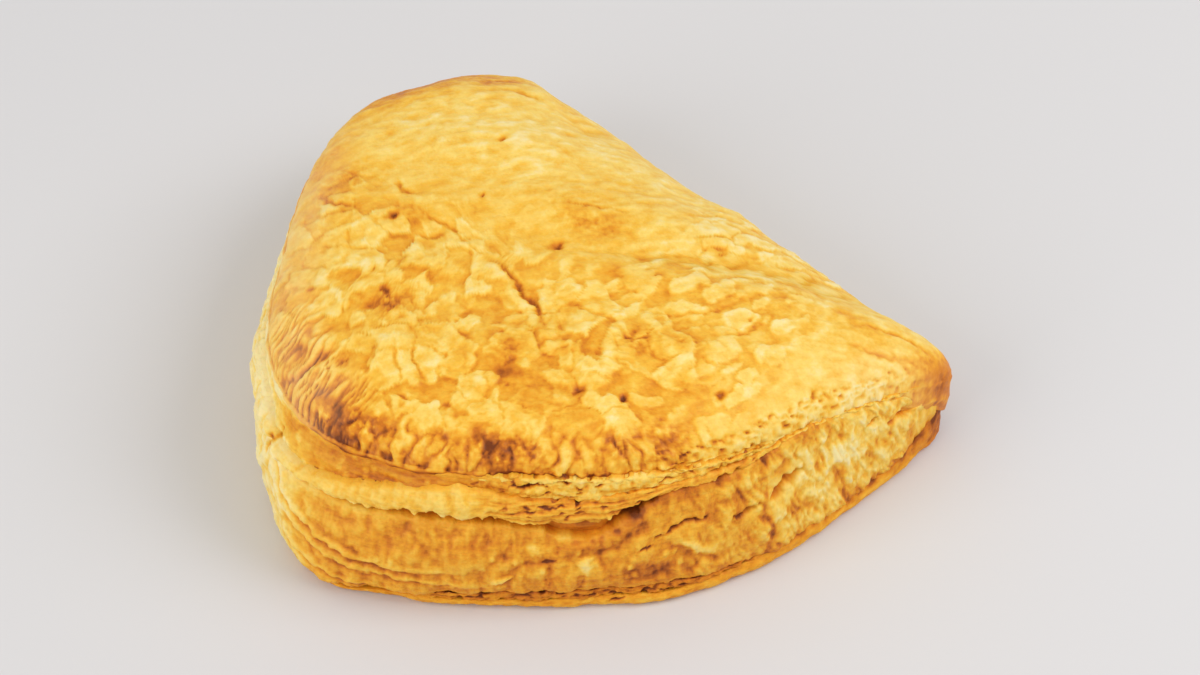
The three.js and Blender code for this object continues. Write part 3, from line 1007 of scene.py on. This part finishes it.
def upper_crumb_relief(s, w, h, v):
    """Paler dough above the tear, with upright flakes near its top."""
    webbed = span(268, 290, 325, 340, s)
    puffs = puffed(s, h, 401)
    strands = web(s, h, 431)
    thin = laminate(s, h, 461)
    upright = fractal((s + 1.2 * noise(s / 4, h / 4, 472)) / 1.6, h / 3, 471, 3)
    upright *= soft(236, 242, s) * soft(0.5, 0.9, v)
    split = span(230, 240, 262, 276, s) + 0.7 * soft(184, 160, s)
    torn = dashes(s, h, 2.4, 481) * soft(230, 244, s)
    height = 0.8 * puffs + webbed * (0.36 * strands - 0.12) + (0.14 + 0.4 * split) * thin + 0.3 * upright
    height -= 0.4 * torn
    bake = age(s) - 0.05 * span(198, 208, 228, 242, s) + 0.1 * span(232, 246, 272, 292, s)
    bake += webbed * (0.1 - 0.18 * strands) - 0.06 * puffs + 0.06 * thin - 0.12 * upright
    bake += split * (0.06 - 0.16 * thin) + 0.23 * torn
    bake += 0.14 * soft(0.85, 1, v) * soft(194, 204, s) + 0.08 * soft(0.12, 0, v)
    return height, bake


def ledge_relief(s, w, h, v):
    """The hollow under the lid: smooth and browned at the left, crumbly and layered further on."""
    thin = laminate(s, h, 481)
    crumbly = soft(226, 242, s)
    crumbs = fractal(s / 1.8, h / 1.6, 491)
    upright = web(s, h, 495) - 0.4
    torn = dashes(s, h, 2.6, 507) * crumbly
    nearest, _, number, _ = cells(s / 2.2, h / 2.2, 503)
    specks = soft(0.45, 0.15, nearest) * (number < 0.2)
    height = 0.3 * thin + 0.6 * noise(s / 9, h / 4, 499) - 0.5 * torn
    height += crumbly * (0.4 * crumbs + 0.45 * upright)
    height += (1 - crumbly) * (0.3 * fractal(s / 4, h / 3, 497, 3) + 0.14 * fractal(s / 1.5, h / 1.1, 498, 3))
    bake = age(s) + 0.24 * span(188, 202, 236, 250, s) + 0.1 * thin
    bake += 0.2 * soft(0.3, 0.05, v) * span(192, 204, 232, 244, s) - 0.2 * specks * (1 - crumbly)
    bake += crumbly * (0.02 - 0.16 * crumbs - 0.14 * upright) + 0.25 * torn
    return height, bake


def leaf_relief(seed, base):
    """A thin leaf: crinkled along its length, crisp and speckled."""

    def relief(s, w, h, v):
        crinkle = fractal(s / 2.2, h / 1.2, seed)
        torn = soft(0.3, 0.6, noise(s / 2.4, h / 0.9, seed + 5))
        height = 0.7 * crinkle + 0.6 * drift(s, 8, seed + 9) - 0.7 * torn
        return height, base(s) - 0.18 * crinkle + 0.3 * torn + 0.2 * soft(0.75, 1, v)

    return relief


def base_relief(s, w, h, v):
    """The base crust: browned where it met the tray, with small notches and a granular face."""
    grains = fractal(s / 2.4, h / 1.8, 501)
    height = 0.25 * grains + 0.4 * drift(s, 12, 511) + 0.2 * noise(s / 5, h / 3, 512) - 0.1
    bake = 0.61 - 0.02 * soft(276, 296, s) - 0.1 * grains + 0.08 * soft(0.6, 1, v) + 0.06 * soft(0.3, 0.0, v)
    bake += 0.12 * soft(318, 345, s) - 0.26 * soft(206, 184, s)
    bake += 0.24 * soft(0.7, 0.95, v) * soft(280, 300, s) * soft(-0.3, 0.3, drift(s, 3, 513))
    return height, bake


# Where the layers meet: length along the rim, share of the height.
TEAR = level(
    (180, 0.64), (190, 0.665), (198, 0.68), (207, 0.69), (214, 0.69), (221, 0.71), (226, 0.735),
    (231, 0.715), (240, 0.685), (250, 0.675), (257, 0.68), (261, 0.72), (267, 0.80), (273, 0.825),
    (280, 0.84), (290, 0.89), (297, 0.95), (304, 0.98), (350, 0.98), (372, 0.64))
JAW = level(
    (182, 0.66), (198, 0.67), (214, 0.67), (226, 0.69), (240, 0.655), (246, 0.63), (250, 0.575),
    (255, 0.56), (259, 0.6), (262, 0.67), (267, 0.78), (273, 0.82), (280, 0.838), (290, 0.888), (297, 0.95),
    (304, 0.985), (320, 0.985), (330, 0.92), (340, 0.8), (350, 0.78), (372, 0.66))
LEDGE = level(
    (0, 0.88), (150, 0.87), (180, 0.84), (190, 0.74), (198, 0.735), (210, 0.81), (220, 0.865), (230, 0.91),
    (240, 0.86), (252, 0.83), (264, 0.87), (272, 0.89), (280, 0.91), (290, 0.94), (297, 0.965),
    (304, 0.985), (350, 0.985), (424, 0.96))
BASE_TOP = level(
    (196, 0.03), (213, 0.07), (240, 0.09), (260, 0.1), (282, 0.12), (300, 0.15), (312, 0.15),
    (322, 0.19), (332, 0.27), (339, 0.38), (345, 0.6), (352, 0.74), (372, 0.06), (424, 0.03))
LOW_LINE = level(
    (196, 0.02), (213, 0.085), (225, 0.13), (240, 0.165), (270, 0.17), (282, 0.15), (292, 0.14),
    (300, 0.145), (312, 0.145), (322, 0.185), (332, 0.26), (339, 0.37), (345, 0.59), (352, 0.73),
    (372, 0.05), (424, 0.02))

# How far the layers swell out: length along the rim, mm.
LOWER_SWELL = level(
    (110, 0.6), (140, 1.2), (165, 1.7), (288, 1.7), (304, 1.2), (326, 1.0), (336, 0.3), (352, 0.3),
    (372, 1.7))
UPPER_SWELL = level(
    (110, 0.4), (140, 1.5), (168, 2.6), (184, 2.3), (196, 1.8), (252, 1.8), (268, 1.4), (284, 1.3),
    (298, 0.4), (350, 0.4), (372, 1.8))
LEDGE_SWELL = level(
    (0, 0.4), (186, 0.0), (198, -1.0), (216, -0.9), (232, 0.2), (244, 0.9), (280, 0.9), (300, -0.6),
    (424, 0.3))
LEAF_SWELL = level((224, -2.0), (234, 0.3), (246, 0.8), (284, 0.8), (302, -0.8), (424, -0.5))
BROWNED_SWELL = level((206, -1.0), (226, 0.3), (280, 0.3), (292, -0.2), (300, -1.2))


def make_layers():
    """All the layers between the base crust and the lid."""
    below = ragged(JAW, 0.01, 0.012, 601)
    above = ragged(TEAR, 0.01, 0.05, 602)
    ledge = ragged(LEDGE, 0.006, 0.014, 603)
    low_line = ragged(LOW_LINE, 0.006, 0.02, 604)
    base_top = ragged(BASE_TOP, 0.008, 0.012, 607)
    pale = leaf_relief(621, lambda s: age(s) - 0.02)
    browned = leaf_relief(631, lambda s: age(s) + 0.2 + 0.2 * soft(214, 230, s) - 0.12 * soft(284, 298, s))
    make_layer("lower_crumb", low_line, below, LOWER_SWELL, 56, lower_crumb_relief, TORN_DOUGH, plump=0.36)
    make_layer("upper_crumb", above, lambda s: ledge(s) + 0.004, UPPER_SWELL, 34, upper_crumb_relief,
               TORN_DOUGH, plump=0.35)
    make_layer("ledge_leaf", lambda s: ledge(s) - 0.012, lambda s: np.maximum(ledge(s) + 0.03, 0.965),
               LEDGE_SWELL, 18, ledge_relief, TORN_DOUGH)
    leaf_low = ragged(level((0, 0.945)), 0.006, 0.03, 608)
    leaf_high = ragged(level((0, 0.973)), 0.004, 0.01, 609)
    make_layer("rim_leaf", leaf_low, leaf_high, LEAF_SWELL, 10, pale, TORN_DOUGH)
    make_layer("browned_leaf", base_top, lambda s: np.maximum(low_line(s), base_top(s) + 0.03), BROWNED_SWELL,
               12, browned, TRAY_CRUST)
    make_layer("base_crust", level((0, 0)), base_top, level((0, 0.7)), 18, base_relief, TRAY_CRUST)


def closed_stack(rings, low, high):
    """The points and faces of rings one above the other, closed with fans to points at low and high."""
    count = len(rings[0])
    points = np.concatenate([*rings, [(CROWN_X, CROWN_Y, low), (CROWN_X, CROWN_Y, high)]])
    first = np.arange(count)
    last = first + count * (len(rings) - 1)
    bottom = np.stack([np.roll(first, -1), first, np.full(count, len(points) - 2)], -1)
    top = np.stack([last, np.roll(last, -1), np.full(count, len(points) - 1)], -1)
    return points, [ring_faces(len(rings), count), bottom, top]


INSIDE_SET_BACK = 3.0
INSIDE_LEVELS = np.linspace(0.02, 0.94, 48)
INSIDE_ENDS = (0.6, 30.0)  # heights of the middle points that close it
END_BAKE = (0.6, 0.6)
POCKET = (254, 0.62, 10, 0.2)  # a wide tear, painted darker as deeper shade: length along the rim, share of the height, radii


def make_inside():
    """The inside, painted brown as the shade in the tears: the side's own shape, set well back and closed."""
    s = np.arange(0, RIM_LENGTH, 1.0)
    at = rim(s)
    rings = []
    bake = []
    for w in INSIDE_LEVELS:
        pocket = spot(s, w, *POCKET)
        out = at["foot"] * (1 - w) + at["belly"] * math.sin(math.pi * w) - INSIDE_SET_BACK
        out += np.minimum(spots(s, w, SIDE_SWELLS), 0)
        out += (2.2 + 1.4 * fractal(s / 3.5, 10 * w + 0 * s, 21, 3)) * pocket
        folded = at["foot"] * (1 - math.sin(w * math.pi / 2)) - FOLD_SINK - 1
        out = out * (1 - at["fold"]) + folded * at["fold"]
        rings.append(beyond_rim(at, out, at["height"] * w - 1.2 * (w > 0.9)))
        # The inside's brown is painted shade, deeper in the pocket.
        bake.append(0.62 + pocket * (0.14 + 0.14 * fractal(s / 2.5, 16 * w + 0 * s, 23, 3)))
    points, faces = closed_stack(rings, *INSIDE_ENDS)
    make_piece("inner_layers", points, faces, {"bake": np.append(bake, END_BAKE)}, TORN_DOUGH)


UNDERSIDE_INSET = 2.5
UNDERSIDE_THICKNESS = 1.0


def make_underside():
    """The flat underside: rings from the middle to inside the base crust's edge, a closed thin plate."""
    at = rim(np.arange(0, RIM_LENGTH, 1.0))
    edge = beyond_rim(at, at["foot"] - FOOT_UNDERCUT - UNDERSIDE_INSET, 0 * at["x"])
    middle = np.array([CROWN_X, CROWN_Y, 0])
    rings = [middle + (edge - middle) * share for share in np.linspace(0.04, 1, 25)]
    rings += [ring + [0, 0, UNDERSIDE_THICKNESS] for ring in rings[::-1]]
    points, faces = closed_stack(rings, 0, UNDERSIDE_THICKNESS)
    blotches = fractal(points[:, 0] / 14, points[:, 1] / 14, 701)
    make_piece("underside", points, faces, {"bake": 0.66 + 0.2 * blotches}, TRAY_CRUST)


# ---- Floor, light and camera ----

CAMERA_AZIMUTH = 40
CAMERA_ELEVATION = 45
CAMERA_DISTANCE = 600
CAMERA_AIM = (9, 12, 20)
LENS = 85
SENSOR_WIDTH = 36
FLOOR_METRES = 6
FLOOR_COLOUR = "#dad8d8"
SKY_STRENGTH = 0.64
LIGHT_AIM = (0, 0, 0.02)

# Square lights: towards the camera's right, away from it, and up; distance, side and power.
LIGHTS = {
    "key": (0.95, -0.15, 0.95, 1.1, 0.65, 5.2),
    "fill": (-1.0, -0.7, 0.6, 1.3, 0.9, 6.5),
}


def make_stage():
    """A pale floor, a white sky, a soft light from the upper right, a broad one from the left, a camera."""
    scene = bpy.context.scene
    scene.view_settings.view_transform = "Standard"
    bpy.ops.mesh.primitive_plane_add(size=FLOOR_METRES)
    floor = bpy.context.object
    floor.name = "floor"
    paper = bpy.data.materials.new("pale_paper")
    paper.use_nodes = True
    shader = paper.node_tree.nodes["Principled BSDF"]
    shader.inputs["Base Color"].default_value = linear(FLOOR_COLOUR)
    shader.inputs["Roughness"].default_value = 0.9
    shader.inputs["Specular IOR Level"].default_value = 0.1
    floor.data.materials.append(paper)

    world = bpy.data.worlds.new("studio")
    world.use_nodes = True
    sky = world.node_tree.nodes["Background"]
    sky.inputs["Color"].default_value = (1, 1, 1, 1)
    sky.inputs["Strength"].default_value = SKY_STRENGTH
    scene.world = world

    azimuth = math.radians(CAMERA_AZIMUTH)
    elevation = math.radians(CAMERA_ELEVATION)
    right = np.array([math.cos(azimuth), math.sin(azimuth), 0])
    away = np.array([-math.sin(azimuth), math.cos(azimuth), 0])
    up = np.array([0, 0, 1])
    for name, (to_right, to_back, upward, distance, size, power) in LIGHTS.items():
        lamp = bpy.data.lights.new(name, "AREA")
        lamp.size = size
        lamp.energy = power
        holder = bpy.data.objects.new(name, lamp)
        scene.collection.objects.link(holder)
        toward = to_right * right + to_back * away + upward * up
        toward /= np.linalg.norm(toward)
        holder.location = toward * distance + LIGHT_AIM
        holder.rotation_euler = Vector(toward).to_track_quat("Z", "Y").to_euler()

    back = up * math.sin(elevation) - away * math.cos(elevation)
    camera = bpy.data.objects.new("camera", bpy.data.cameras.new("camera"))
    camera.data.lens = LENS
    camera.data.sensor_width = SENSOR_WIDTH
    camera.data.clip_start = 10 * MM
    camera.location = (CAMERA_AIM + back * CAMERA_DISTANCE) * MM
    camera.rotation_euler = Vector(back).to_track_quat("Z", "Y").to_euler()
    scene.collection.objects.link(camera)
    scene.camera = camera


make_stage()
make_lid()
make_layers()
make_inside()
make_underside()
